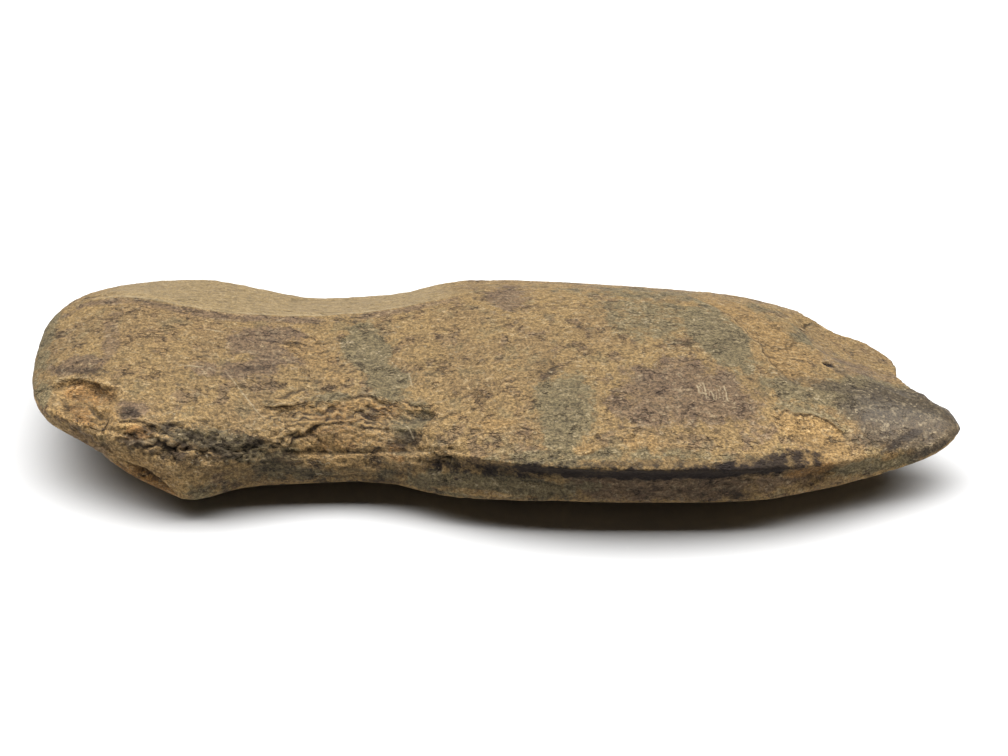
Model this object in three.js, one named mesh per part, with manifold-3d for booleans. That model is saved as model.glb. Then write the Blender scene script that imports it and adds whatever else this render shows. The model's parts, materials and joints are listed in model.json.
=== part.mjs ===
// Head of a ground and polished stone axe, waisted for hafting, in one piece of bedded stone.
// It lies on its rounder face. +X runs from the butt to the bit, +Y across the stone, +Z up, in mm.
// The near side (-Y) is a narrow squared facet. The far side (+Y) is ground off obliquely at the
// waist, and the corner of the bit on that side is broken away in two flakes.
import * as THREE from "three";
import { mergeVertices } from "three/addons/utils/BufferGeometryUtils.js";
import Module from "manifold-3d";

const { degToRad, lerp, smoothstep } = THREE.MathUtils;

const LENGTH = 180; // butt end to the tip of the bit
const HALF = LENGTH / 2;

// Cross sections along the stone, as [x, near, keel, far, rim, crown, belly]. Four edges are [y, z]:
// near = between the worked face and the near side, keel = the lower edge of the near side,
// far = between the worked face and the far bevel, rim = the outermost line of the far side.
// crown is how far the worked face swells over its edges, and belly the height of the underside.
const STATIONS = [
  [-90, [-21.2, 18], [-20.2, 13.6], [20.5, 19.5], [30.8, 15], 1.6, 6],
  [-78, [-20.2, 18.6], [-19.6, 12.3], [20.3, 20.8], [30.9, 15], 2.2, 3.6],
  [-68, [-23.2, 18.2], [-23.2, 8.6], [16.6, 21.8], [31.8, 15], 2.4, 1],
  [-57, [-25.8, 17], [-27, 5.6], [12.6, 21.8], [31.6, 15], 2.2, -0.3],
  [-47, [-24.8, 15.8], [-23.4, 5.6], [11.4, 21.4], [29.2, 14.4], 2, 0.6],
  [-38, [-23, 15], [-22.5, 5.6], [11.2, 21], [27.2, 14], 1.9, 1.4],
  [-20, [-22.8, 14.4], [-22.9, 6], [13.6, 20.6], [28.3, 14], 2.2, 1.2],
  [-8, [-25.4, 15.6], [-27, 6.6], [20.4, 19.6], [31.3, 15], 3.8, 0.4],
  [10, [-30, 16.6], [-29.8, 8], [26.6, 17.4], [31.4, 15], 6.2, -0.3],
  [35, [-31, 16.6], [-30.2, 8], [25.4, 17], [29.4, 14.5], 6.8, -0.3],
  [52, [-29.2, 15.4], [-29.2, 8], [23.6, 15.4], [29.2, 12.6], 6.2, 0.6],
  [64, [-26.2, 14], [-25.4, 7.6], [21, 13.5], [25.8, 11.2], 5.6, 2.2],
  [76, [-21.2, 12.8], [-21.6, 8.4], [15.6, 12.2], [20.4, 10.6], 4.4, 5],
  [84, [-18.3, 12.2], [-18.8, 9.8], [8, 11.6], [11, 10.6], 3, 7.6],
  [90, [-14.6, 11.9], [-14.6, 11.2], [-8.6, 11.5], [-7.4, 10.9], 1.2, 9.8],
].map(([x, near, keel, far, rim, crown, belly]) => ({ x, near, keel, far, rim, crown, belly }));

// How far across the worked face is highest (0 near, 1 far), and how flat it is there.
const CREST = { body: 0.5, bit: 0.27, from: 40, to: 78 };
const FLATNESS = { body: 2.2, bit: 1.6, side: 1.6 };
// The hollow under the near edge of the blade: it sits this far up the near side.
const GROOVE = { from: -14, full: 0, fade: 55, to: 78, depth: 0.9, place: 0.8 };
// Over these lengths the ends close to a point on the centre line [y, z], in a rounded outline.
// The butt's near half runs a little aslant.
const BUTT_ROUND = { length: 27, power: 3, centre: [7, 15], slant: 0.035 };
const TIP_ROUND = { length: 4, power: 2.2, centre: [-12.5, 11.4], slant: 0 };

// The corner of the bit broke away in two flakes. Seen from above, each left one lobe of the far
// edge. The breaks lean in under the edge, which lies at about this height.
const BREAK = {
  lobes: [
    [[64.2, 21.6], [70, 17.5], [75.4, 16.9], [79.5, 12.9], [80.7, 8.4], [80, 3.2]],
    [[80, 3.2], [82.8, -4.6], [87, -6.7], [89.4, -7.6], [90.4, -11]],
  ],
  start: [63, 30],
  height: 13.4,
  lean: 0.5,
};

// Flake and step scars, each a shallow bowl sunk into one side of the stone: size is its length,
// width and depth. at is [x, y] seen from above or below, and [x, z] seen from a side. turn swings
// its long axis towards +Y, or up, and dip deepens its half on that side.
const SCARS = {
  upperButtCorner: { on: "top", at: [-77, -12.4], size: [18, 8, 1.3], turn: -18, dip: 14 },
  lowerButtCorner: { on: "top", at: [-75.6, -16.6], size: [13.5, 7.5, 1.4], turn: -34, dip: 12 },
  buttSide: { on: "near", at: [-62.5, 9.6], size: [14, 6.5, 1], turn: -24, dip: 8 },
  waistStep: { on: "top", at: [-30, -20.4], size: [19, 8, 1.5], turn: 6, dip: 16 },
  upperWaistStep: { on: "top", at: [-27, -14.8], size: [25, 6, 0.9], turn: -2, dip: 14 },
  waistCorner: { on: "top", at: [-15.6, -21.6], size: [10, 6.5, 1.3], turn: -20, dip: 0 },
  peckedHollow: { on: "near", at: [-10, 13.4], size: [9, 5, 1], turn: 0, dip: 6 },
  upperBladeSpall: { on: "top", at: [54.5, 3.6], size: [25, 12.5, 0.6], turn: -62, dip: 0 },
  lowerBladeSpall: { on: "top", at: [61.5, -20.2], size: [13.5, 7.5, 0.8], turn: -18, dip: 8 },
  bitCornerFlake: { on: "top", at: [75.5, 7], size: [38, 25, 2.2], turn: -56, dip: 0 },
  tipFlake: { on: "top", at: [86, -4.4], size: [12, 7, 0.9], turn: -46, dip: 4 },
  bladeSideChip: { on: "near", at: [60.4, 11.4], size: [9.5, 4.6, 0.8], turn: 8, dip: 6 },
  farSideChip: { on: "far", at: [30, 12], size: [12, 5, 0.7], turn: 4, dip: 0 },
  undersideButt: { on: "under", at: [-72, 8], size: [22, 13, 1], turn: 30, dip: 4 },
  undersideWaist: { on: "under", at: [-24, -6], size: [26, 12, 0.8], turn: -8, dip: 0 },
  undersideBit: { on: "under", at: [66, 2], size: [20, 12, 0.9], turn: -40, dip: 4 },
};
const BOWL_HEIGHT = 2.6; // height of a bowl over the depth of its scar: high gives shallow sides
const RAGGED = { broad: 0.12, fine: 0.06, turn: 2.4 }; // how uneven a scar's rim is

// Two true flats at the waist, where a haft bears: each is planed off over this length and width.
const HAFT_SEATS = [
  { at: [-28.5, -22.15, 9.8], size: [11, 6.4], lean: 90 },
  { at: [-34.5, 20.4, 16.85], size: [14, 10], lean: -24.2 },
];

const SECTIONS = 74;
const RUNS = { top: 14, bevel: 3, under: 12, side: 5 }; // steps along each run of a section

// A smooth curve through the stations' values of one field, read at x.
function rail(pick) {
  const points = STATIONS.map((station) => new THREE.Vector2(station.x, pick(station)));
  const last = points.length - 1;
  return (x) => {
    const i = Math.min(last, Math.max(1, points.findIndex((point) => point.x > x)));
    const [before, after] = [points[Math.max(0, i - 2)], points[Math.min(last, i + 1)]];
    const [a, b] = [points[i - 1], points[i]];
    const span = b.x - a.x;
    const t = (x - a.x) / span;
    const slopeIn = ((b.y - before.y) / (b.x - before.x)) * span;
    const slopeOut = ((after.y - a.y) / (after.x - a.x)) * span;
    return (
      (2 * t ** 3 - 3 * t ** 2 + 1) * a.y +
      (t ** 3 - 2 * t ** 2 + t) * slopeIn +
      (3 * t ** 2 - 2 * t ** 3) * b.y +
      (t ** 3 - t ** 2) * slopeOut
    );
  };
}

const edgeRail = (name) => {
  const [y, z] = [0, 1].map((k) => rail((station) => station[name][k]));
  return (x) => [y(x), z(x)];
};
const RAILS = {
  near: edgeRail("near"),
  keel: edgeRail("keel"),
  far: edgeRail("far"),
  rim: edgeRail("rim"),
  crown: rail((station) => station.crown),
  belly: rail((station) => station.belly),
};

// One run of a section from a to b without its last point, pushed out by bulge [y, z] at its crest.
function run(a, b, bulge, steps, crest = 0.5, flatness = FLATNESS.body) {
  return Array.from({ length: steps }, (_, i) => {
    const t = i / steps;
    const away = t < crest ? 1 - t / crest : (t - crest) / (1 - crest);
    const push = 1 - away ** flatness;
    return [0, 1].map((k) => lerp(a[k], b[k], t) + bulge[k] * push);
  });
}

// Draws a section in towards the centre near one end, as far as the end's rounded outline says.
function close(points, x, round, end) {
  const into = Math.max(0, 1 - Math.abs(end - x) / round.length);
  const kept = (1 - into ** round.power) ** (1 / round.power);
  const [cy, cz] = round.centre;
  return points.map(([px, y, z]) => {
    const drawn = lerp(cy, y, kept);
    return [px + round.slant * Math.max(0, cy - drawn) * into, drawn, lerp(cz, z, kept)];
  });
}

function section(x) {
  const [near, keel, far, rim] = ["near", "keel", "far", "rim"].map((name) => RAILS[name](x));
  const sag = (rim[1] + keel[1]) / 2 - RAILS.belly(x);
  const onBit = smoothstep(x, CREST.from, CREST.to);
  const crest = lerp(CREST.body, CREST.bit, onBit);
  const flatness = lerp(FLATNESS.body, FLATNESS.bit, onBit);
  const inGroove = smoothstep(x, GROOVE.from, GROOVE.full) * (1 - smoothstep(x, GROOVE.fade, GROOVE.to));
  const points = [
    ...run(near, far, [0, RAILS.crown(x)], RUNS.top, crest, flatness),
    ...run(far, rim, [0, 0], RUNS.bevel),
    ...run(rim, keel, [0, -sag], RUNS.under),
    ...run(keel, near, [GROOVE.depth * inGroove, 0], RUNS.side, GROOVE.place, FLATNESS.side),
  ].map((point) => [x, ...point]);
  return close(close(points, x, BUTT_ROUND, -HALF), x, TIP_ROUND, HALF);
}

// Sections crowd towards both ends, where the outline turns.
function sectionPlaces() {
  return Array.from({ length: SECTIONS }, (_, i) => -HALF * Math.cos((Math.PI * (i + 0.5)) / SECTIONS));
}

// The stone before it was broken and scarred: a skin over the sections, closed by a point at each end.
function loft() {
  const rings = sectionPlaces().map(section);
  const around = rings[0].length;
  const vertices = [[-HALF, ...BUTT_ROUND.centre], ...rings.flat(), [HALF, ...TIP_ROUND.centre]];
  const at = (ring, i) => 1 + ring * around + (i % around);
  const faces = [];
  for (let i = 0; i < around; i++) {
    faces.push(0, at(0, i), at(0, i + 1));
    faces.push(vertices.length - 1, at(rings.length - 1, i + 1), at(rings.length - 1, i));
    for (let ring = 0; ring + 1 < rings.length; ring++) {
      faces.push(at(ring, i), at(ring + 1, i), at(ring, i + 1));
      faces.push(at(ring + 1, i), at(ring + 1, i + 1), at(ring, i + 1));
    }
  }
  const geometry = new THREE.BufferGeometry();
  geometry.setAttribute("position", new THREE.Float32BufferAttribute(vertices.flat(), 3));
  geometry.setIndex(faces);
  return geometry;
}

// A ball whose outline seen from above wavers, so that no two scars have the same rim.
function raggedBall(turn) {
  const ball = new THREE.IcosahedronGeometry(1, 4);
  const points = ball.getAttribute("position");
  for (let i = 0; i < points.count; i++) {
    const angle = Math.atan2(points.getY(i), points.getX(i));
    const broad = RAGGED.broad * Math.sin(3 * angle + turn);
    const stretch = 1 + broad + RAGGED.fine * Math.sin(5 * angle - turn);
    points.setXY(i, points.getX(i) * stretch, points.getY(i) * stretch);
  }
  return ball;
}

const FROM = LENGTH; // a place is looked for from this far outside the stone
const LOOKS = {
  top: ([x, y]) => [new THREE.Vector3(x, y, FROM), new THREE.Vector3(0, 0, -1)],
  under: ([x, y]) => [new THREE.Vector3(x, y, -FROM), new THREE.Vector3(0, 0, 1)],
  near: ([x, z]) => [new THREE.Vector3(x, -FROM, z), new THREE.Vector3(0, 1, 0)],
  far: ([x, z]) => [new THREE.Vector3(x, FROM, z), new THREE.Vector3(0, -1, 0)],
};
const blank = loft();

// What one scar takes out of the stone: a flattened ball, mostly outside the surface at its place.
function scarBowl({ on, at, size: [length, width, depth], turn, dip }, count) {
  const hit = new THREE.Raycaster(...LOOKS[on](at)).intersectObject(new THREE.Mesh(blank))[0];
  const out = hit.face.normal;
  const along = new THREE.Vector3(1, 0, 0).projectOnPlane(out).normalize();
  const across = out.clone().cross(along);
  if (across.y + across.z < 0) {
    along.negate();
    across.negate();
  }
  const height = BOWL_HEIGHT * depth;
  const lift = height - depth;
  const spread = 1 / Math.sqrt(1 - (lift / height) ** 2);
  return raggedBall(count * RAGGED.turn)
    .scale((spread * length) / 2, (spread * width) / 2, height)
    .rotateX(degToRad(dip))
    .rotateZ(degToRad(turn))
    .translate(0, 0, lift)
    .applyMatrix4(new THREE.Matrix4().makeBasis(along, across, out))
    .translate(...hit.point);
}

// What broke away: all that lay outside the two lobes of the bit's far corner.
function brokenCorner() {
  const [first, second] = BREAK.lobes.map((lobe) => lobe.map((point) => new THREE.Vector2(...point)));
  const [startX, startY] = BREAK.start;
  const outline = new THREE.Shape([new THREE.Vector2(startX, startY), first[0]]);
  outline.splineThru(first.slice(1));
  outline.splineThru(second.slice(1));
  outline.lineTo(LENGTH, second.at(-1).y);
  outline.lineTo(LENGTH, startY);
  return new THREE.ExtrudeGeometry(outline, { depth: LENGTH, bevelEnabled: false, curveSegments: 9 })
    .translate(0, 0, -HALF)
    .applyMatrix4(new THREE.Matrix4().makeShear(0, 0, 0, 0, 0, BREAK.lean))
    .translate(0, 0, BREAK.height);
}

function seatBlock({ at, size: [length, width], lean }) {
  const clearance = 8;
  return new THREE.BoxGeometry(length, width, clearance)
    .translate(0, 0, clearance / 2)
    .rotateX(degToRad(lean))
    .translate(...at);
}

const wasm = await Module();
wasm.setup();

function solid(geometry) {
  const bare = new THREE.BufferGeometry().setAttribute("position", geometry.getAttribute("position"));
  if (geometry.index) bare.setIndex(geometry.index);
  const merged = mergeVertices(bare, 1e-4);
  return new wasm.Manifold(
    new wasm.Mesh({
      numProp: 3,
      vertProperties: merged.attributes.position.array,
      triVerts: new Uint32Array(merged.index.array),
    }),
  );
}

function geometryOf(manifold) {
  const mesh = manifold.getMesh();
  const geometry = new THREE.BufferGeometry();
  geometry.setAttribute("position", new THREE.BufferAttribute(mesh.vertProperties, 3));
  geometry.setIndex(new THREE.BufferAttribute(mesh.triVerts, 1));
  return geometry;
}

// The ground takes the lowest 0.3 mm off the belly, which leaves two small flats to lie on.
const ground = new THREE.BoxGeometry(2 * LENGTH, LENGTH, LENGTH).translate(0, 0, -HALF);
const scars = Object.values(SCARS).map(scarBowl);
const cuts = [ground, brokenCorner(), ...scars, ...HAFT_SEATS.map(seatBlock)];
const stone = geometryOf(cuts.reduce((left, cut) => left.subtract(solid(cut)), solid(blank)));
stone.computeVertexNormals();
stone.computeBoundingBox();
const box = stone.boundingBox;
stone.translate(-(box.min.x + box.max.x) / 2, -(box.min.y + box.max.y) / 2, -box.min.z);

const axe = new THREE.Mesh(
  stone,
  new THREE.MeshStandardMaterial({ color: 0x8a7452, roughness: 0.75, metalness: 0 }),
);
axe.name = "axe_head";

const group = new THREE.Group();
group.add(axe);
export default group;
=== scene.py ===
"""A waisted axe head of ground and polished stone, lying on its rounder face on a white table.

Places on the stone are in millimetres from the middle of its box, with z from the table. +X runs
to the bit, +Y to the far bevelled side, and +Z up out of the worked face.
"""
import json
import math

import bpy
import numpy as np
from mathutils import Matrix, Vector, kdtree, noise


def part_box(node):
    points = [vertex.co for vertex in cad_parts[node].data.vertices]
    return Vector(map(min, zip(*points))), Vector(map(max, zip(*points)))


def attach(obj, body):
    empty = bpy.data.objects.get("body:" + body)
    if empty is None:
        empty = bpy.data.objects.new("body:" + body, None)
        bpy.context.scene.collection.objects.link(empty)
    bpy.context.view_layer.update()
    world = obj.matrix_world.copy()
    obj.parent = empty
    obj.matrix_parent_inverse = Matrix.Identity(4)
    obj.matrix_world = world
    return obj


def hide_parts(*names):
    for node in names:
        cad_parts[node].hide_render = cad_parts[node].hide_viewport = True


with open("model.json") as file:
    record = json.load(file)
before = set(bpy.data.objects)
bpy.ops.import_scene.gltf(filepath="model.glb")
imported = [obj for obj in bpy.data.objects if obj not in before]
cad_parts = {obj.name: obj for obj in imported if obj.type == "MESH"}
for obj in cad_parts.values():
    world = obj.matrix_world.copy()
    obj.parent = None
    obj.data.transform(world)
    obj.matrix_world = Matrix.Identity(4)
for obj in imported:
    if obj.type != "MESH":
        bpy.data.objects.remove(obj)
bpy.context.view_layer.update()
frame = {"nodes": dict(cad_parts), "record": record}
low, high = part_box("axe_head")
MM = (high[0] - low[0]) / 180  # the stone is 180 mm long


# ---- The table, the lamp and the camera ----
# The stone lies on a matt white table. One wide soft lamp hangs over it and leaves a close dark
# shadow under the overhanging edge. The camera stands at the near side and looks down.
TABLE_SIDE = 4000
LAMP = {"height": 800, "width": 2200, "depth": 620, "back": 140, "power": 28}
SKY = 0.03
CAMERA = {"aim": (2.45, 1.95, 12), "distance": 387.4, "elevation": 38, "lens": 70}

bpy.ops.object.select_all(action="DESELECT")
bpy.ops.mesh.primitive_plane_add(size=TABLE_SIDE * MM, location=(0, 0, -0.02 * MM))
table = bpy.context.object
table.name = "table"
table_paint = bpy.data.materials.new("table_paint")
table_paint.use_nodes = True
paint = table_paint.node_tree.nodes["Principled BSDF"]
paint.inputs["Base Color"].default_value = (0.55, 0.55, 0.55, 1)
paint.inputs["Roughness"].default_value = 0.6
table.data.materials.append(table_paint)

bpy.ops.object.light_add(type="AREA", location=(0, LAMP["back"] * MM, LAMP["height"] * MM))
lamp = bpy.context.object
lamp.data.shape = "RECTANGLE"
lamp.data.size, lamp.data.size_y = LAMP["width"] * MM, LAMP["depth"] * MM
lamp.data.energy = LAMP["power"]
lamp.rotation_euler = (math.atan2(-LAMP["back"], LAMP["height"]), 0, 0)

sky = bpy.data.worlds.new("sky")
sky.use_nodes = True
sky.node_tree.nodes["Background"].inputs["Color"].default_value = (1, 1, 1, 1)
sky.node_tree.nodes["Background"].inputs["Strength"].default_value = SKY
bpy.context.scene.world = sky

slope = math.radians(CAMERA["elevation"])
back = Vector((0, -math.cos(slope), math.sin(slope)))
bpy.ops.object.camera_add()
camera = bpy.context.object
camera.location = (Vector(CAMERA["aim"]) + back * CAMERA["distance"]) * MM
camera.rotation_euler = (-back).to_track_quat("-Z", "Y").to_euler()
camera.data.lens = CAMERA["lens"]
camera.data.clip_start = 0.01
bpy.context.scene.camera = camera
bpy.context.scene.view_settings.view_transform = "Standard"
bpy.context.scene.view_settings.look = "Medium High Contrast"


# ---- The stone: its body ----
# One piece of fine-grained bedded stone. It was flaked to shape, pecked round the waist, then
# ground all over and polished at the bit. The copy of the solid is skinned over at a fine pitch,
# and its facets are worn smooth everywhere but along the ground edges and the rims of the scars.
SKIN_PITCH = 0.32
CRISP_ANGLE = math.radians(24)
CRISP_REACH = (0.5, 2.4)  # full wear is kept off the crisp edges, this near and this far away
SEAT_REACH = 11  # the seats' own rims are no worked edges
CRISP_NEAR_EDGE_FROM = -9  # the near edge is crumbled from the butt to the waist


def select_only(piece):
    bpy.ops.object.select_all(action="DESELECT")
    piece.select_set(True)
    bpy.context.view_layer.objects.active = piece


def finish_with(piece, kind, **settings):
    """Adds a modifier of this kind to the piece and applies it."""
    modifier = piece.modifiers.new(kind.lower(), kind)
    for name, value in settings.items():
        setattr(modifier, name, value)
    select_only(piece)
    bpy.ops.object.modifier_apply(modifier=modifier.name)


def smoothstep(start, end, value):
    t = np.clip((value - start) / (end - start), 0, 1)
    return t * t * (3 - 2 * t)


def read_vectors(items, field):
    values = np.empty(len(items) * 3)
    items.foreach_get(field, values)
    return values.reshape(-1, 3)


def distance_from(points, places):
    """How far each place is from the nearest of the points."""
    tree = kdtree.KDTree(len(points))
    for i, point in enumerate(points):
        tree.insert(point, i)
    tree.balance()
    return np.array([tree.find(place)[2] for place in places])


def paint_group(piece, name, weights):
    """A vertex group with a weight for every vertex, in steps of a hundredth."""
    group = piece.vertex_groups.new(name=name)
    steps = np.round(np.clip(weights, 0, 1) * 100).astype(int)
    for step in np.unique(steps):
        if step:
            group.add(np.flatnonzero(steps == step).tolist(), step / 100, "REPLACE")
    return group.name


stone = bpy.data.objects.new("stone_axe", frame["nodes"]["axe_head"].data.copy())
bpy.context.collection.objects.link(stone)
stone.data.materials.clear()
select_only(stone)
bpy.ops.object.mode_set(mode="EDIT")
bpy.ops.mesh.select_all(action="SELECT")
bpy.ops.mesh.remove_doubles(threshold=0.004 * MM)
bpy.ops.object.mode_set(mode="OBJECT")

mounts = {mount["name"]: Vector(mount["pos_m"]) for mount in frame["record"]["mounts"]}
seats = [mounts["haft_seat_near"], mounts["haft_seat_far"]]


def crisp_points(mesh):
    """Places along the mesh's sharp edges, a third of a pitch apart, but for the seats' rims."""
    faces_at = {}
    for face in mesh.polygons:
        for key in face.edge_keys:
            faces_at.setdefault(key, []).append(face.normal.copy())
    points = []
    for (a, b), normals in faces_at.items():
        if len(normals) != 2 or normals[0].angle(normals[1], 0) < CRISP_ANGLE:
            continue
        start, end = mesh.vertices[a].co, mesh.vertices[b].co
        middle = (start + end) / 2
        on_seat = min((middle - seat).length for seat in seats) < SEAT_REACH * MM
        on_worn_edge = middle.y < 0 and middle.x < CRISP_NEAR_EDGE_FROM * MM
        if on_seat or on_worn_edge:
            continue
        steps = max(1, int((end - start).length / (SKIN_PITCH * MM)))
        points += [start.lerp(end, i / steps) for i in range(steps + 1)]
    return points


crisp = crisp_points(stone.data)
finish_with(stone, "REMESH", mode="VOXEL", voxel_size=SKIN_PITCH * MM)
places = read_vectors(stone.data.vertices, "co")
crispness = 1 - smoothstep(CRISP_REACH[0], CRISP_REACH[1], distance_from(crisp, places) / MM)
worn = paint_group(stone, "worn", 1 - crispness)
finish_with(stone, "SMOOTH", factor=0.5, iterations=44, vertex_group=worn)
finish_with(stone, "SMOOTH", factor=0.5, iterations=2)
places = read_vectors(stone.data.vertices, "co") / MM
from_seat = np.linalg.norm((places - np.array(seats[0]) / MM) * (1, 1, 1.6), axis=1)
worn_off = paint_group(stone, "worn_off", smoothstep(14, 11, from_seat))
finish_with(stone, "SMOOTH", factor=0.5, iterations=120, vertex_group=worn_off)

# From the butt to the waist the near edge has crumbled round: x, y and z of it, and its radius.
CRUMBLED_EDGE = [(-79, -17.8, 18, 0), (-70, -22.4, 18.4, 3), (-60, -25.8, 17.4, 4.2), (-50, -25.6, 16.1, 4.5),
                 (-40, -23.7, 15.1, 5), (-30, -22.7, 13.6, 5.5), (-20, -23.3, 14.5, 5), (-10, -24.6, 15.6, 2.5),
                 (-4, -26, 16.2, 0)]
places = read_vectors(stone.data.vertices, "co") / MM
stations, *edge_course = np.array(CRUMBLED_EDGE).T
edge_y, edge_z, radius = [np.interp(places[:, 0], stations, values) for values in edge_course]
out, up = edge_y + radius - places[:, 1], places[:, 2] - edge_z + radius
corner = (radius > 0.1) & (out > 0) & (up > 0)
drawn_in = np.ones(len(places))
drawn_in[corner] = np.maximum(out, up)[corner] / np.hypot(out, up)[corner]
places[:, 1] = np.where(corner, edge_y + radius - out * drawn_in, places[:, 1])
places[:, 2] = np.where(corner, edge_z - radius + up * drawn_in, places[:, 2])
stone.data.vertices.foreach_set("co", (places * MM).ravel())
finish_with(stone, "SMOOTH", factor=0.5, iterations=3)


# ---- The stone: its breaks and its skin ----
# Step fractures run along the waist and the butt's near corner, where the bedding let go in thin
# leaves: each breaks down steeply from a lip and climbs back to the face. Around them lie cracks,
# chips and pits, and a fine pecked grain covers all but the polished bit and the far bevel.
spots = read_vectors(stone.data.vertices, "co") / MM
facing = read_vectors(stone.data.vertices, "normal")
on_top = smoothstep(-0.05, 0.25, facing[:, 2])
on_near = smoothstep(0.1, 0.5, -facing[:, 1])
on_under = smoothstep(0.2, 0.6, -facing[:, 2])


def noise_field(size, places):
    """Three smooth noises, each from -1 to 1, that change over about this length."""
    return np.array([noise.noise_vector(Vector(place / size)) for place in places])


broad = noise_field(11, spots)
middling = noise_field(3.4, spots)
fine = noise_field(1.25, spots)
bedded = noise_field(1.0, spots * (0.3, 0.55, 0.9))
drift = 0.8 * middling + 0.5 * fine
marks = {
    name: np.zeros(len(spots))
    for name in ("ochre", "rust", "olive", "purple", "dark", "deep_shade", "near_side_light", "bevel", "rim", "bit",
                 "polish", "rough", "crumb")
}
sunk = np.zeros(len(spots))
LINES = ("lip", "scratch")
gaps = {name: np.full(len(spots), 9.0) for name in LINES}
shows = {name: np.zeros(len(spots)) for name in LINES}

VIEWS = {"top": (0, 1, on_top), "near": (0, 2, on_near), "under": (0, 1, on_under)}


def sink(depth):
    """The deepest of the marks that meet on a spot is the one that shows."""
    sunk[:] = np.maximum(sunk, depth)


def add_mark(name, amount):
    marks[name] = np.maximum(marks[name], amount)


def draw_line(name, offset, show):
    """Keeps how far each spot lies from the nearest line, so the line can be drawn hair-thin."""
    closer = (np.abs(offset) < np.abs(gaps[name])) & (show > 0.02) & (np.abs(offset) < 1.4)
    gaps[name][closer] = offset[closer]
    faded = show * smoothstep(1.4, 0.8, np.abs(offset))
    shows[name][closer] = faded[closer]


def along_line(points, view, ragged=1.0):
    """For every spot: its distance from a broken line, + on the right of it, and how far along."""
    across, up, _ = VIEWS[view]
    flat = (spots + drift * ragged)[:, (across, up)]
    line = np.array(points, dtype=float)
    lengths = np.hypot(*np.diff(line, axis=0).T)
    total = lengths.sum()
    nearest = np.full(len(flat), np.inf)
    side = np.ones(len(flat))
    part = np.zeros(len(flat))
    done = 0.0
    for start, end, length in zip(line[:-1], line[1:], lengths):
        heading = (end - start) / length
        offset = flat - start
        t = np.clip(offset @ heading, 0, length)
        gap = offset - t[:, None] * heading
        distance = np.hypot(gap[:, 0], gap[:, 1])
        closer = distance < nearest
        turn = heading[1] * offset[:, 0] - heading[0] * offset[:, 1]
        nearest[closer] = distance[closer]
        side[closer] = np.sign(turn[closer])
        part[closer] = ((done + t) / total)[closer]
        done += length
    return nearest * side, part


def ledge(points, drop, reach, view="top", bare=0.8, lip_shade=0.8, ragged=1.0, wall=0.4, skin=0.0):
    """The skin breaks off along a line and climbs back over this reach, on the line's right."""
    down, part = along_line(points, view, ragged)
    fade = np.sin(np.pi * np.clip(part, 0.02, 0.98)) ** 0.6 * VIEWS[view][2]
    lively = np.clip(0.85 + 0.6 * middling[:, 1], 0.45, 1.2)
    below = smoothstep(-0.4 * wall, wall, down) * np.clip(1 - down / reach, 0, 1)
    near_enough = smoothstep(1.2 * reach, reach, np.abs(down))
    sink(drop * fade * below * lively * near_enough)
    # The lip line is painted shade on the step under the lip and a painted highlight on its edge.
    draw_line("lip", down, lip_shade * fade * lively)
    add_mark("ochre", bare * fade * smoothstep(-0.1, 0.3, down) * smoothstep(reach, 0.6 * reach, down))
    add_mark("olive", skin * fade * smoothstep(0.2, -0.2, down) * smoothstep(-4, -1, down))


def leaves(points, pitch, count, drop, view="top", bare=0.8, lip_shade=0.8):
    """Thin leaves below a broken line, each ending in a small step and climbing back to the face."""
    down, part = along_line(points, view, 0.6)
    here = np.sin(np.pi * np.clip(part, 0.02, 0.98)) ** 0.5 * VIEWS[view][2]
    here = here * smoothstep(0, 0.5, down) * smoothstep(count * pitch, (count - 0.8) * pitch, down)
    level = down / pitch + 0.75 * middling[:, 2] + 0.45 * fine[:, 2] + 0.7 * broad[:, 0]
    tread = level - np.floor(level)
    lively = np.clip(0.75 + 0.8 * middling[:, 0], 0.2, 1.3)
    sink(drop * here * lively * smoothstep(0, 0.16, tread) * (1 - tread))
    offset = (tread - 0.08 - (tread > 0.6)) * pitch / 1.3
    # Each step's line is painted shade under it and a painted highlight on its edge.
    draw_line("lip", offset, lip_shade * here * lively)
    add_mark("ochre", bare * here * smoothstep(0.05, 0.3, tread))
    add_mark("rust", bare * here * smoothstep(0.05, 0.3, tread) * smoothstep(-0.1, 0.5, broad[:, 1]))


def crack(points, depth, width, view="top", lip_shade=0.6, ragged=1.0):
    offset, part = along_line(points, view, ragged)
    fade = np.sin(np.pi * np.clip(part, 0, 1)) ** 0.5 * VIEWS[view][2]
    sink(depth * fade * np.exp(-((offset / width) ** 2)))
    # The crack's line is painted shade inside it and a painted highlight on one side.
    draw_line("lip", offset + 0.25, lip_shade * fade)


def scratch(points, strength=1.0):
    offset, part = along_line(points, "top", 0.15)
    draw_line("scratch", offset, strength * np.sin(np.pi * np.clip(part, 0, 1)) ** 0.5 * on_top)


def oval(at, size, turn, view, ragged):
    """How far out each spot lies: 0 in the middle, 1 on the ragged rim. size is length and width."""
    across, up, _ = VIEWS[view]
    x, y = spots[:, across] - at[0], spots[:, up] - at[1]
    cos, sin = math.cos(math.radians(turn)), math.sin(math.radians(turn))
    u, v = (x * cos + y * sin) * 2 / size[0], (y * cos - x * sin) * 2 / size[1]
    pick = int(abs(at[0] * 7 + at[1] * 3)) % 3
    waver = 0.45 * broad[:, pick] + 0.5 * middling[:, pick] + 0.3 * fine[:, pick]
    return np.hypot(u, v) + ragged * waver


def patch_shape(at, size, turn, view, soft, ragged):
    return smoothstep(1 + soft, 1 - soft, oval(at, size, turn, view, ragged)) * VIEWS[view][2]


def stain(name, at, size, turn=0, amount=1.0, view="top", soft=0.45, ragged=0.7):
    add_mark(name, amount * patch_shape(at, size, turn, view, soft, ragged))


def hollow(at, size, depth, turn=0, view="top", soft=0.6, ragged=0.4):
    sink(depth * patch_shape(at, size, turn, view, soft, ragged))


chance = np.random.default_rng(11)


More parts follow.
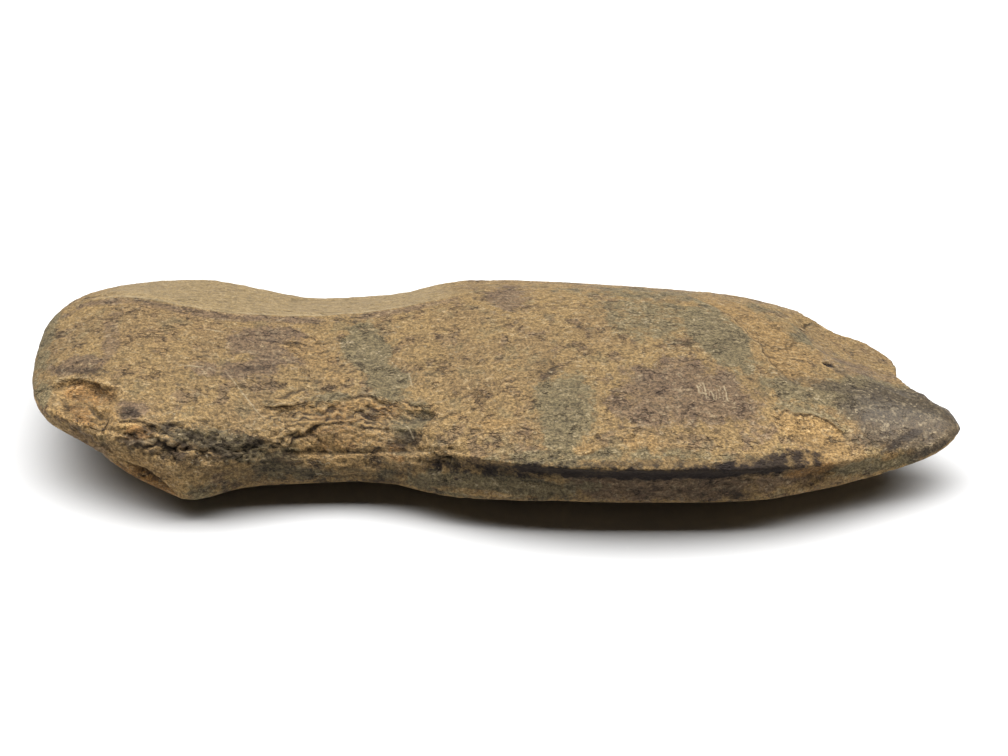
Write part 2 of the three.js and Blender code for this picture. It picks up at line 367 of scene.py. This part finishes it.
def splinters(count, at, size, turn, length, drop, view="top", bare=0.5, lip_shade=0.7):
    """Short broken ledges strewn over an oval, all lying roughly one way."""
    for _ in range(count):
        angle = chance.uniform(0, 2 * math.pi)
        out = math.sqrt(chance.random())
        x, y = out * math.cos(angle) * size[0] / 2, out * math.sin(angle) * size[1] / 2
        lean = math.radians(turn)
        middle = (at[0] + x * math.cos(lean) - y * math.sin(lean),
                  at[1] + x * math.sin(lean) + y * math.cos(lean))
        lean += math.radians(chance.normal(0, 9))
        half = chance.uniform(*length) / 2
        step = (half * math.cos(lean), half * math.sin(lean))
        sag = chance.uniform(-0.1, 0.3) * half
        points = [(middle[0] - step[0], middle[1] - step[1]), (middle[0], middle[1] + sag),
                  (middle[0] + step[0], middle[1] + step[1])]
        deep = chance.uniform(*drop)
        ledge(points, deep, 2.2 * deep + 0.6, view, bare, lip_shade * chance.uniform(0.4, 1), 0.5)


# The waist's near edge: the skin has gone in a wide scar, in leaves that end one under another.
ledge([(-45, -15.2), (-42, -14.6), (-39, -14.3), (-36, -13.4), (-33.4, -12.3), (-30.5, -12.7)], 0.5, 2.6,
      lip_shade=0.9)
ledge([(-30.6, -13.4), (-29, -12.6), (-26.4, -11.4), (-24, -11.2), (-21.6, -11.5), (-19.4, -12.7),
       (-17, -13.7), (-14.2, -14.7)], 0.6, 2.6, lip_shade=1.0)
ledge([(-17.6, -13), (-15.6, -13.2), (-14, -14.2), (-12.4, -14.9)], 0.4, 1.8, lip_shade=0.8)
leaves([(-47, -19.6), (-43, -16.6), (-39, -14.6), (-33.4, -12.8), (-29, -12.6), (-24, -11.4), (-19, -12.9),
        (-14, -15), (-11, -18)], 1.5, 5, 0.5, lip_shade=0.9)
ledge([(-27.6, -14.6), (-25.4, -14.5), (-23.4, -15), (-21.4, -15.4), (-19.6, -15)], 0.6, 1.7, lip_shade=1.1)
ledge([(-41.5, -22.8), (-38.6, -21.6), (-37, -20.4), (-35, -18.9), (-33, -17.7), (-31.4, -16.9),
       (-28.6, -16.9), (-26, -17.1), (-23.4, -17.5), (-21, -18.1), (-17.5, -18.8)], 0.75, 9, lip_shade=1.6,
      ragged=0.9)
ledge([(-11.5, -17.6), (-9, -17.9), (-6.6, -17.2), (-4.6, -16.9)], 0.3, 1.6, bare=0.6, lip_shade=0.5)
crack([(-31.6, -17.2), (-31.2, -16.2), (-30.8, -15.4)], 0.5, 0.4, lip_shade=1)
crack([(-41.4, -12.6), (-39.4, -12.4), (-38.2, -11.4), (-36.4, -10.6), (-34, -10)], 0.3, 0.4)
splinters(10, (-29, -16.5), (26, 9), 5, (2, 5), (0.15, 0.35))

# The butt's near corner: two smooth scallops one under the other, and a torn edge beside them.
ledge([(-85, -8.8), (-82, -8.4), (-80, -8.5), (-78, -9.1), (-76, -9.9), (-74, -11.1), (-72, -12),
       (-69, -13)], 1.6, 5.2, lip_shade=0.7, ragged=0.5, wall=1.3, bare=1.2)
ledge([(-79.5, -11.6), (-78, -12.4), (-76.6, -13.6), (-75.6, -15.2), (-74.6, -16.6), (-73, -17.8), (-71.4, -18.8),
       (-69.6, -20.4)], 1.7, 4.6, lip_shade=0.6, ragged=0.4, wall=1.5, bare=1.2)
crack([(-78, -12.8), (-76.2, -14.8), (-74.8, -16.6), (-72.6, -18.4), (-70.6, -20.2)], 0.8, 1.0, lip_shade=0.5, ragged=0.4)
ledge([(-79.4, -19), (-80.2, -16.6), (-81.2, -14.4), (-82.2, -12.4), (-83.6, -10.6)], 0.7, 2.6, bare=0.3,
      ragged=0.6, wall=0.8)
ledge([(-71, -19.6), (-69, -20.2), (-66.5, -20.4), (-64, -20.8), (-61.5, -21.8)], 0.9, 2.6, lip_shade=1.6,
      ragged=0.7)
ledge([(-66, -23.2), (-63, -23.6), (-60, -24.2), (-57, -24.4)], 0.6, 1.8, bare=0.1, lip_shade=1.2)
crack([(-73.6, -21.6), (-72.8, -20), (-71.6, -19)], 0.8, 0.5, lip_shade=1.2)
hollow((-71.4, -11), (2.2, 1.6), 0.4)
splinters(20, (-59, -21.5), (26, 8), -4, (1.5, 5), (0.15, 0.45), bare=0.1)
splinters(5, (-77, -18), (9, 8), -35, (1.5, 4), (0.15, 0.35))

# The blade: where thin leaves lifted off its face, and the bit's torn corner.
ledge([(52.4, -21.6), (53, -19.4), (55, -17.6), (57.2, -18), (60, -17.6), (62.4, -18), (65, -19.2), (67.6, -21)],
      0.3, 6.5, bare=1.3, lip_shade=0.9, skin=0.8, ragged=0.7)
ledge([(58, -12.4), (56, -9.6), (54.4, -6), (52.8, -3.4), (52.6, 0), (50.6, 4.5), (48, 9.4), (45, 15), (41.6, 19),
       (38, 22)], 0.35, 9, bare=1.5, lip_shade=0.8, skin=1.3, ragged=0.7)
crack([(64.4, 17.6), (63.9, 16), (63.7, 14.4)], 0.4, 0.4)
# A deep pit by the bit, painted near black inside as shade.
hollow((65.6, -1.9), (2.2, 1.7), 1.1, soft=0.3)
stain("deep_shade", (65.6, -1.9), (2.2, 1.9), 0, 1.6, soft=0.2, ragged=0.2)
crack([(60.6, -2.8), (58.4, -1.6), (57.6, -1)], 0.3, 0.5)
splinters(30, (20, -24), (70, 9), 1, (1.5, 4), (0.1, 0.25), bare=0.2, lip_shade=0.5)

# Short cracks in the worked face, along the bedding, thickest over the waist.
splinters(34, (-42, -5), (34, 18), 2, (1.5, 5), (0.1, 0.28), bare=0.1, lip_shade=0.7)
splinters(34, (0, 4), (60, 36), -2, (1, 3.5), (0.08, 0.2), bare=0.1, lip_shade=0.5)
splinters(18, (-74, -2), (26, 22), -6, (1, 3), (0.1, 0.25), bare=0.1, lip_shade=0.6)
splinters(22, (-50, 13), (56, 7), -6, (1, 4), (0.1, 0.3), bare=0.1, lip_shade=0.6)
splinters(26, (58, 0), (44, 30), -2, (1, 3), (0.08, 0.2), bare=0.1, lip_shade=0.5)

# Pale scratches left by the plough and the spade.
scratch([(-51, -7), (-49.6, -9), (-47.6, -11.8), (-45.6, -14.2), (-43.6, -16.6), (-42.2, -18)], 0.8)
scratch([(-16.4, -17.6), (-15.4, -19.2), (-14.4, -21)])
scratch([(-16, -6.2), (-15.4, -8.2), (-14.9, -10.4)], 0.7)
for x, y, lean, tall in ((38.6, -13.4, 0.5, 2.4), (39.9, -12.9, 0.4, 4.2), (41.2, -14.6, 0.5, 2.6),
                         (42.5, -13.1, 0.4, 3.8), (43.8, -12.9, 0.5, 4.2)):
    scratch([(x, y), (x + lean / 2 + 0.15, y - tall / 2), (x + lean, y - tall)], 1.6)
scratch([(-56, 4.6), (-53.4, 4), (-51.4, 3.6)], 0.7)
scratch([(-60, -6.4), (-57, -6.6), (-54.6, -6.8)], 0.8)

# The ground bevel along the far side meets the face in an edge. Its skin is worn and stained.
along, _ = along_line([(-88, 14), (-82, 16.6), (-76, 16.6), (-70, 15.2), (-62, 12.6), (-55, 11), (-48, 10.2), (-40, 10.4),
                       (-32, 10.8), (-26, 12), (-18, 14.6), (-8, 18.4)], "top", 0.25)
bevel = smoothstep(0.3, -0.3, along) * smoothstep(-2, -14, spots[:, 0]) * smoothstep(-84, -72, spots[:, 0])
bevel *= smoothstep(-0.2, 0.1, facing[:, 2])
add_mark("bevel", bevel)
add_mark("polish", 0.6 * bevel)
skin = smoothstep(0.1, 0.8, along) * smoothstep(4.5, 1.5, along) * smoothstep(2, -10, spots[:, 0]) * on_top
add_mark("purple", 0.9 * skin * np.clip(0.7 + broad[:, 1], 0, 1))
add_mark("rim", smoothstep(0.55, 0.1, np.abs(along + 0.35)) * bevel * np.clip(0.8 + broad[:, 2], 0, 1))

# Stains and bare stone on the worked face. Ochre is weathered stone where the skin is gone.
stain("ochre", (-65, 0), (34, 28), 0, 0.35)
stain("ochre", (-12, 9), (18, 24), 70, 0.35)
stain("ochre", (-3, -13), (24, 18), -8, 0.35)
stain("ochre", (-36, -1), (12, 8), -10, 0.6)
stain("ochre", (-31, -6), (8, 4), -30, 0.6)
stain("ochre", (-29, -16), (26, 7), 4, 0.7)
stain("ochre", (-31, -19.6), (12, 5), 10, 1.0)
stain("rust", (-27, -15), (20, 4), 4, 0.6)
stain("rust", (-29, -19), (12, 4), 0, 0.5)
stain("ochre", (-76, -15), (13, 10), -30, 0.9)
stain("rust", (-76.5, -12), (10, 4), -20, 0.8)
stain("rust", (-77, -16.6), (8, 4), -45, 0.8)
stain("ochre", (54, -3), (9, 12), 0, 0.8, ragged=0.5)
stain("ochre", (60, 1), (8, 9), 0, 0.7)
stain("ochre", (52.6, 9), (9, 20), 28, 1.2, ragged=0.4)
stain("ochre", (58.6, 12), (6, 6), -20, 0.6)
stain("ochre", (59.5, -21.8), (14, 5.4), -20, 1.3, ragged=0.3)
stain("ochre", (68.5, 12), (12, 10), -30, 0.4)
stain("ochre", (26, -26), (4, 3), 0, 0.8)
stain("ochre", (30, -27), (2.6, 4), 0, 0.8)
stain("ochre", (17.5, -27.5), (5, 2), 8, 0.8)
stain("ochre", (0, -21), (9, 2), -4, 0.9)
stain("ochre", (-14, 27), (14, 6), -10, 0.4)
stain("rust", (-66, -22), (5, 2), -6, 1.2)

stain("olive", (14, -21), (12, 20), 0, 0.9)
stain("olive", (-24.5, 0), (9, 15), 12, 1.0)
stain("olive", (-20, -8), (8, 12), 20, 0.9)
stain("olive", (-15.5, -17), (7, 7), 0, 1.0)
stain("olive", (-31, -12.4), (9, 3), 6, 0.8)
stain("olive", (32, 8), (22, 18), 0, 0.6)
stain("olive", (38, 20), (50, 10), -3, 0.6)
stain("olive", (61, 8), (5, 16), 10, 0.8)
stain("olive", (44, 2), (11, 24), 24, 1.1)
stain("olive", (60, -13), (18, 5), -10, 0.9)
stain("olive", (-88, 6), (5, 26), 0, 0.7)
stain("olive", (-87, -12), (6, 10), -30, 0.8)
stain("olive", (-48, -23), (22, 3.4), -2, 0.8)
stain("olive", (20, -28.6), (60, 3), 0, 0.7)
stain("olive", (76, -10), (32, 14), 12, 1.0, ragged=0.4)
stain("bit", (81, -13), (28, 17), 14, 1.1, soft=0.6, ragged=0.4)
stain("bit", (66, -10), (24, 5), -6, 0.55, ragged=0.6)

stain("purple", (37, -16), (30, 18), 0, 0.8)
stain("purple", (3, 17), (8, 14), 0, 0.8)
stain("purple", (-44, 1), (16, 12), 0, 0.9)
stain("purple", (-46, -6), (16, 5), 10, 0.9)
stain("purple", (72, -1), (16, 14), 0, 0.6)
stain("purple", (-74, 0), (5, 18), 4, 0.7)
stain("purple", (-79, -5), (12, 5), -8, 0.9)
stain("purple", (-55, -7), (7, 4), -8, 0.9)
stain("purple", (-68, -18), (8, 4), -8, 1.0)

stain("dark", (-47, -6.3), (9, 1.8), 10, 0.55)
stain("dark", (-68, 14), (14, 2.4), -14, 0.45)
stain("dark", (10.5, -8), (5, 8), 0, 0.5)
stain("dark", (-28, 9), (4, 3), 0, 0.5)
stain("dark", (-35, 7), (5, 4), 0, 0.4)
stain("dark", (-14, 3), (3, 6), -20, 0.35)
stain("dark", (18, 1), (7, 8), 0, 0.25)
stain("dark", (-68, -18.4), (6, 2.6), -8, 0.6)
stain("dark", (-52, -22.6), (38, 5), -3, 0.55)
stain("dark", (-16.5, -21), (6, 3.4), 0, 0.6)
stain("dark", (-23.6, -14.6), (4.4, 1.8), -8, 0.7)
stain("dark", (78, -19), (16, 2), 34, 0.7)
stain("ochre", (74.5, -20.6), (3, 1.4), 20, 1.2)
stain("dark", (30, -30.4), (66, 2.2), 0, 0.6, ragged=0.3)
stain("dark", (-78, -7), (14, 2.4), -16, 0.55)

# The near side: painted shade, near black, in the groove under the blade's edge, and olive along the foot.
stain("deep_shade", (31, 15.2), (58, 3.6), 0, 1.0, "near", ragged=0.3)
stain("deep_shade", (2, 13.4), (30, 3), 4, 0.5, "near", ragged=0.5)
stain("dark", (-58, 16), (26, 5), -4, 0.7, "near")
stain("dark", (-7.6, 13.6), (9, 3.6), 0, 0.6, "near")
stain("dark", (-75, 7), (6, 4), -30, 0.6, "near")
stain("purple", (36, 12), (48, 8), 0, 0.9, "near")
stain("purple", (-76, 12), (10, 6), -20, 0.7, "near")
stain("olive", (0, 10), (34, 5), 4, 1.0, "near")
stain("olive", (-34, 11), (26, 9), 0, 0.7, "near")
stain("ochre", (59.6, 13.4), (9, 4.6), 0, 1.4, "near", ragged=0.3)
stain("rust", (59.6, 13), (8, 4), 0, 0.8, "near")
stain("ochre", (-64, 9), (16, 9), -24, 1.0, "near", ragged=0.4)
stain("rust", (-65, 7.6), (13, 5), -26, 1.3, "near", ragged=0.4)
stain("olive", (-58, 5), (14, 8), -10, 1.0, "near")
stain("olive", (72, 11), (20, 4), -4, 0.8, "near")
stain("ochre", (-2, 8.4), (22, 1.6), 2, 0.6, "near")
stain("rust", (-18, 13), (4, 2.4), 0, 0.9, "near")
stain("ochre", (75, 12), (4, 2), 0, 1.0, "near")
ledge([(-70, 12.6), (-66.5, 11.4), (-62.5, 9.4), (-59.6, 7)], 0.7, 3.0, "near", bare=0.5, lip_shade=0.4,
      ragged=0.5)
ledge([(-69.5, 8.6), (-67, 7.2), (-64, 5.6), (-61.5, 3.2)], 0.7, 2.6, "near", bare=0.7, lip_shade=0.6,
      ragged=0.5)
splinters(22, (-40, 11), (40, 9), 1, (1.5, 6), (0.1, 0.3), "near", bare=0.05, lip_shade=0.4)
splinters(22, (24, 12), (80, 8), 0, (1.5, 6), (0.1, 0.25), "near", bare=0.05, lip_shade=0.4)
splinters(8, (-73, 10), (14, 8), -28, (1.5, 4), (0.2, 0.5), "near", bare=0.4, lip_shade=0.7)
# Painted light: the near side's colour is lightened, most toward the butt and the bit, but not in the painted shade
# under the blade's edge.
ends = smoothstep(-48, -60, spots[:, 0]) + smoothstep(42, 58, spots[:, 0])
add_mark("near_side_light", on_near * (1 - marks["deep_shade"]) * (0.4 + 0.6 * ends))
# Painted shade: the waist's near side is darkened in patches.
stain("dark", (-30, 8), (46, 12), 0, 0.4, "near")

# Ground and polished: the far edge and the bit.
stain("polish", (80, -13), (26, 14), 10, 0.9, ragged=0.4)
stain("polish", (72, 8), (18, 22), 0, 0.7, ragged=0.3)
stain("polish", (30, 25), (70, 8), -3, 0.6)

# The crumbled near edge from the butt to the waist, and the pecked hollow past the waist.
stain("rough", (-54, -23), (38, 9), -3, 1.0)
stain("rough", (-27, -20), (30, 8), 0, 0.6)
stain("rough", (-10, 13.4), (12, 6), 0, 1.0, "near")
stain("rough", (-50, 16), (46, 6), -2, 1.0, "near")
stain("rough", (-76, 15), (12, 6), -20, 1.0, "near")
stain("crumb", (-75.4, -20.4), (10, 4), -40, 1.0)
stain("crumb", (-56, -23.4), (30, 5), -3, 0.8)
stain("crumb", (-8.6, 14.4), (8, 4), 0, 0.7, "near")
stain("crumb", (-52, 15.6), (38, 3.4), -2, 0.6, "near")
stain("ochre", (-75.4, -20), (10, 5), -40, 1.0)

grain = (1 - 0.75 * marks["polish"]) * (0.55 + 0.6 * marks["rough"]) * (1 - 0.5 * on_under)
lumps = 0.1 * broad[:, 0] + 0.12 * grain * middling[:, 2] + 0.22 * grain * bedded[:, 0]
lumps += marks["rough"] * (0.35 * middling[:, 0] + 0.35 * fine[:, 1])

# Crumbs: the torn edge breaks up along crooked clefts, some long and some short, with painted shade darkening the
# clefts.
torn = np.flatnonzero(marks["crumb"] > 0.02)
for size, depth in ((2.2, 0.55), (1.2, 0.45)):
    bent = (spots[torn] + 0.9 * drift[torn]) * (0.75, 1, 1)
    turned = noise_field(size, bent)
    cleft = np.exp(-((turned[:, 0] / 0.07) ** 2)) * smoothstep(-0.2, 0.15, turned[:, 1])
    lumps[torn] += marks["crumb"][torn] * depth * (0.9 * turned[:, 0] - cleft)
    marks["dark"][torn] = np.maximum(marks["dark"][torn], marks["crumb"][torn] * cleft * 0.9)

# Pits where grains fell out, thick on the crumbled edge and few on the polished stone.
PITS = 1500
PIT_REACH = (0.3, 0.7)
centres = chance.choice(len(spots), PITS, replace=False)
tree = kdtree.KDTree(len(spots))
for i, spot in enumerate(spots):
    tree.insert(spot, i)
tree.balance()
for centre in centres:
    if chance.random() > 0.3 + 0.7 * marks["rough"][centre] - 0.25 * marks["polish"][centre]:
        continue
    reach = chance.uniform(*PIT_REACH)
    found = tree.find_range(spots[centre], 1.4 * reach)
    near = np.array([index for _, index, _ in found])
    away = np.array([distance for _, _, distance in found]) / reach
    sunk[near] += 0.4 * reach * np.exp(-((1.6 * away) ** 2))

spots -= facing * (sunk - lumps)[:, None]
stone.data.vertices.foreach_set("co", (spots * MM).ravel())
kept_values = {name: np.clip(values, 0, 1) for name, values in marks.items()}
for name in LINES:
    kept_values[name + "_gap"] = np.clip(gaps[name], -2, 2)
    kept_values[name + "_show"] = np.clip(shows[name], 0, 1)
for name, values in kept_values.items():
    attribute = stone.data.attributes.new(name, "FLOAT", "POINT")
    attribute.data.foreach_set("value", values)

grain_group = paint_group(stone, "grain", grain / 1.15)
pecking = bpy.data.textures.new("pecking", "CLOUDS")
pecking.noise_scale = 0.8 * MM
pecking.noise_depth = 2
finish_with(stone, "DISPLACE", texture=pecking, texture_coords="LOCAL", strength=0.4 * MM,
            mid_level=0.5, vertex_group=grain_group)

MOST_TRIANGLES = 194_000
triangles = sum(len(face.vertices) - 2 for face in stone.data.polygons)
hidden = paint_group(stone, "hidden", 0.3 + 0.7 * on_under - 0.3 * np.maximum(marks["rough"], marks["ochre"]))
finish_with(stone, "DECIMATE", ratio=min(1, MOST_TRIANGLES / triangles), vertex_group=hidden,
            vertex_group_factor=1.0)

corners = np.array([low, high])
kept = np.clip(read_vectors(stone.data.vertices, "co"), corners[0], corners[1])
stone.data.vertices.foreach_set("co", kept.ravel())
stone.data.update()
select_only(stone)
bpy.ops.object.shade_smooth()


def evened(values, edges, rounds):
    """Values averaged over each vertex's neighbours, this many times over."""
    count = np.bincount(edges.ravel(), minlength=len(values))
    for _ in range(rounds):
        total = np.zeros_like(values)
        for column in range(values.shape[1]):
            for here, there in ((0, 1), (1, 0)):
                share = values[edges[:, there], column]
                total[:, column] += np.bincount(edges[:, here], share, len(values))
        values = 0.5 * values + 0.5 * total / count[:, None]
    return values


# Hollows are painted in shade and high grains painted pale as a highlight: how far each spot lies under its
# surroundings.
edges = np.empty(len(stone.data.edges) * 2, dtype=int)
stone.data.edges.foreach_get("vertices", edges)
edges = edges.reshape(-1, 2)
shape = read_vectors(stone.data.vertices, "co") / MM
facing = read_vectors(stone.data.vertices, "normal")
for name, rounds, spread in (("pit_shading", 4, 0.06), ("hollow_shading", 40, 0.35)):
    under = ((evened(shape, edges, rounds) - shape) * facing).sum(axis=1)
    attribute = stone.data.attributes.new(name, "FLOAT", "POINT")
    attribute.data.foreach_set("value", np.clip(0.5 + 0.5 * under / spread, 0, 1))


# ---- The stone: its colours ----
class Wire:
    """One output of a node. Sums and products of wires add the Math nodes that work them out."""

    def __init__(self, shader, socket):
        self.shader, self.socket = shader, socket

    def math(self, operation, first, second):
        return self.shader.add("Math", {"operation": operation}, {0: first, 1: second})

    def __add__(self, other):
        return self.math("ADD", self, other)

    def __sub__(self, other):
        return self.math("SUBTRACT", self, other)

    def __rsub__(self, other):
        return self.math("SUBTRACT", other, self)

    def __mul__(self, other):
        return self.math("MULTIPLY", self, other)

    __radd__, __rmul__ = __add__, __mul__


class Shader:
    """The node tree of one material, built node by node."""

    def __init__(self, name):
        self.material = bpy.data.materials.new(name)
        self.material.use_nodes = True
        self.tree = self.material.node_tree
        self.surface = self.tree.nodes["Principled BSDF"]

    def add(self, kind, settings=None, inputs=None, output=0):
        node = self.tree.nodes.new("ShaderNode" + kind)
        for name, value in (settings or {}).items():
            setattr(node, name, value)
        for name, value in (inputs or {}).items():
            self.plug(node.inputs[name], value)
        return Wire(self, node.outputs[output])

    def plug(self, socket, value):
        if isinstance(value, Wire):
            self.tree.links.new(value.socket, socket)
        else:
            socket.default_value = value

    def mark(self, name):
        return self.add("Attribute", {"attribute_name": name}, output="Fac")

    def ramp(self, value, start, end):
        """0 below start, 1 above end, and smooth between."""
        ends = {"Value": value, "From Min": start, "From Max": end}
        return self.add("MapRange", {"interpolation_type": "SMOOTHSTEP"}, ends)

    def blend(self, factor, under, over, how="MIX"):
        """Colour over colour, by a factor."""
        settings = {"data_type": "RGBA", "blend_type": how}
        return self.add("Mix", settings, {0: factor, 6: under, 7: over}, 2)


def paint_of(red, green, blue, strength=0.4):
    """A colour named by how it shows on screen, as the light that the stone gives back."""
    linear = [((value / 255 + 0.055) / 1.055) ** 2.4 for value in (red, green, blue)]
    return (*[value * strength for value in linear], 1)


look = Shader("ground_stone")
here = look.add("TexCoord", output="Object")


def speckle(size, detail=2.0, roughness=0.55, stretch=(1, 1, 1), turn=0.0, offset=0.0):
    """A noise that changes over about this many millimetres, drawn out along x by the stretch."""
    settings = {"vector_type": "TEXTURE"}
    scale = tuple(value * size * MM for value in stretch)
    placing = {
        "Vector": here,
        "Location": (offset * MM, 0, 0),
        "Rotation": (0, 0, math.radians(turn)),
        "Scale": scale,
    }
    place = look.add("Mapping", settings, placing)
    return look.add("TexNoise", {}, {"Vector": place, "Scale": 1.0, "Detail": detail, "Roughness": roughness})


TAN = paint_of(169, 141, 96)
BROWN = paint_of(143, 118, 85)
OCHRE = paint_of(174, 142, 94)
RUST = paint_of(146, 108, 62)
OLIVE = paint_of(134, 122, 92)
PURPLE = paint_of(130, 108, 88)
BEVEL = paint_of(174, 152, 112)
GREY = paint_of(92, 80, 64)
DARK = paint_of(62, 48, 38)
DEEP_SHADE = paint_of(56, 43, 39)
PALE = paint_of(216, 196, 160)

clouds = speckle(10, detail=3)
blotches = speckle(4, detail=5, roughness=0.62, offset=40)
patches = speckle(5, detail=5, roughness=0.62, offset=130)
strokes = speckle(1.0, detail=3, roughness=0.65, stretch=(1.5, 1, 1), turn=-6)
grit = speckle(0.42, detail=2, roughness=0.8, stretch=(1.25, 1, 1), offset=70)
seams = speckle(2.6, detail=4, roughness=0.6, stretch=(1.9, 1, 1), turn=-4, offset=20)
flecks = speckle(0.6, detail=2, stretch=(1.5, 1, 1), offset=90)
clusters = speckle(4, detail=3, offset=160)


def broken(mark, amount=1.3):
    """A mark whose edge is broken up by the grain."""
    return look.ramp(mark + (blotches - 0.5) * amount + (strokes - 0.5) * amount, 0.25, 0.75)


def shaded(color, value):
    """The colour, darker or lighter by a value round 1."""
    return look.blend(1.0, color, value, "MULTIPLY")


def band(value, start, peak, end):
    """1 round the peak and 0 outside start and end."""
    return look.ramp(value, start, peak) * (1 - look.ramp(value, peak, end))


bevel = look.mark("bevel")
skin = look.ramp(blotches, 0.53, 0.6) * 0.5
color = look.blend(look.ramp(clouds, 0.4, 0.65) * 0.5, TAN, BROWN)
color = look.blend(skin, color, PURPLE)
color = look.blend(look.ramp(patches, 0.56, 0.62) * 0.4, color, OLIVE)
color = look.blend(broken(look.mark("purple")) * 0.75, color, PURPLE)
color = look.blend(broken(look.mark("olive")) * 0.85, color, OLIVE)
color = look.blend(broken(look.mark("ochre")) * 0.85, color, OCHRE)
color = look.blend(broken(look.mark("rust")) * 0.7, color, RUST)
color = look.blend(bevel * 0.8, color, BEVEL)
color = look.blend(broken(look.mark("bit"), 0.6) * 0.9, color, GREY)
color = look.blend(look.ramp(strokes, 0.52, 0.68) * 0.3, color, PALE)
color = look.blend(look.ramp(strokes, 0.48, 0.32) * 0.35, color, DARK)
color = shaded(color, 1 + (look.ramp(grit, 0.36, 0.64) - 0.5) * (0.75 - bevel * 0.3))
# Painted shade in pits and broader hollows, and a painted highlight on raised grains.
color = shaded(color, 1.16 - look.ramp(look.mark("pit_shading"), 0.2, 0.95) * 0.36)
color = shaded(color, 1.08 - look.ramp(look.mark("hollow_shading"), 0.5, 0.95) * 0.35)
# Painted light on the near side, lighter toward the ends.
color = shaded(color, 1 + look.mark("near_side_light") * 0.65)
seam = band(seams, 0.47, 0.5, 0.53) * look.ramp(blotches, 0.48, 0.6) * (1 - bevel)
color = look.blend(seam * 0.45, color, DARK)
# Dark stains, and painted shade from the same mark in the crumbs' clefts and over the waist's near side.
color = look.blend(broken(look.mark("dark"), 1.2) * 0.75, color, DARK)
# Painted shade, near black, in the groove under the blade's edge and in the deep pit by the bit.
color = look.blend(broken(look.mark("deep_shade"), 1.5) * 0.9, color, DEEP_SHADE)
speck = look.ramp(flecks, 0.6, 0.7) * look.ramp(clusters, 0.42, 0.62) * (1 - look.mark("deep_shade"))
speck = speck * (0.5 + look.mark("rough") * 0.35 + look.mark("olive") * 0.5 - bevel * 0.2)
color = look.blend(speck, color, PALE)
color = look.blend(look.mark("rim") * 0.55, color, PALE)
# Along the lips of steps and cracks: a painted highlight on the edge and painted shade on the step below.
gap = look.mark("lip_gap") + (grit - 0.5) * 0.5 + (strokes - 0.5) * 0.9
color = look.blend(band(gap, -0.8, -0.35, 0) * look.mark("lip_show") * 0.3, color, PALE)
color = look.blend(band(gap, -0.1, 0.18, 0.6) * look.mark("lip_show") * 0.9, color, DARK)
gap = look.mark("scratch_gap") + (grit - 0.5) * 0.12
color = look.blend(band(gap, -0.26, 0, 0.26) * look.mark("scratch_show") * look.ramp(strokes, 0.3, 0.5),
                   color, PALE)
look.plug(look.surface.inputs["Base Color"], color)

rough = 0.8 - look.mark("polish") * 0.3 + (strokes - 0.5) * 0.2
look.plug(look.surface.inputs["Roughness"], rough)
look.surface.inputs["Specular IOR Level"].default_value = 0.4
relief = (strokes * 0.4 + grit * 0.2 - seam * 0.2) * (1 - look.mark("polish") * 0.75)
bump = look.add("Bump", {}, {"Strength": 1.0, "Distance": MM, "Height": relief})
look.plug(look.surface.inputs["Normal"], bump)
stone.data.materials.append(look.material)

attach(stone, "root")
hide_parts("axe_head")
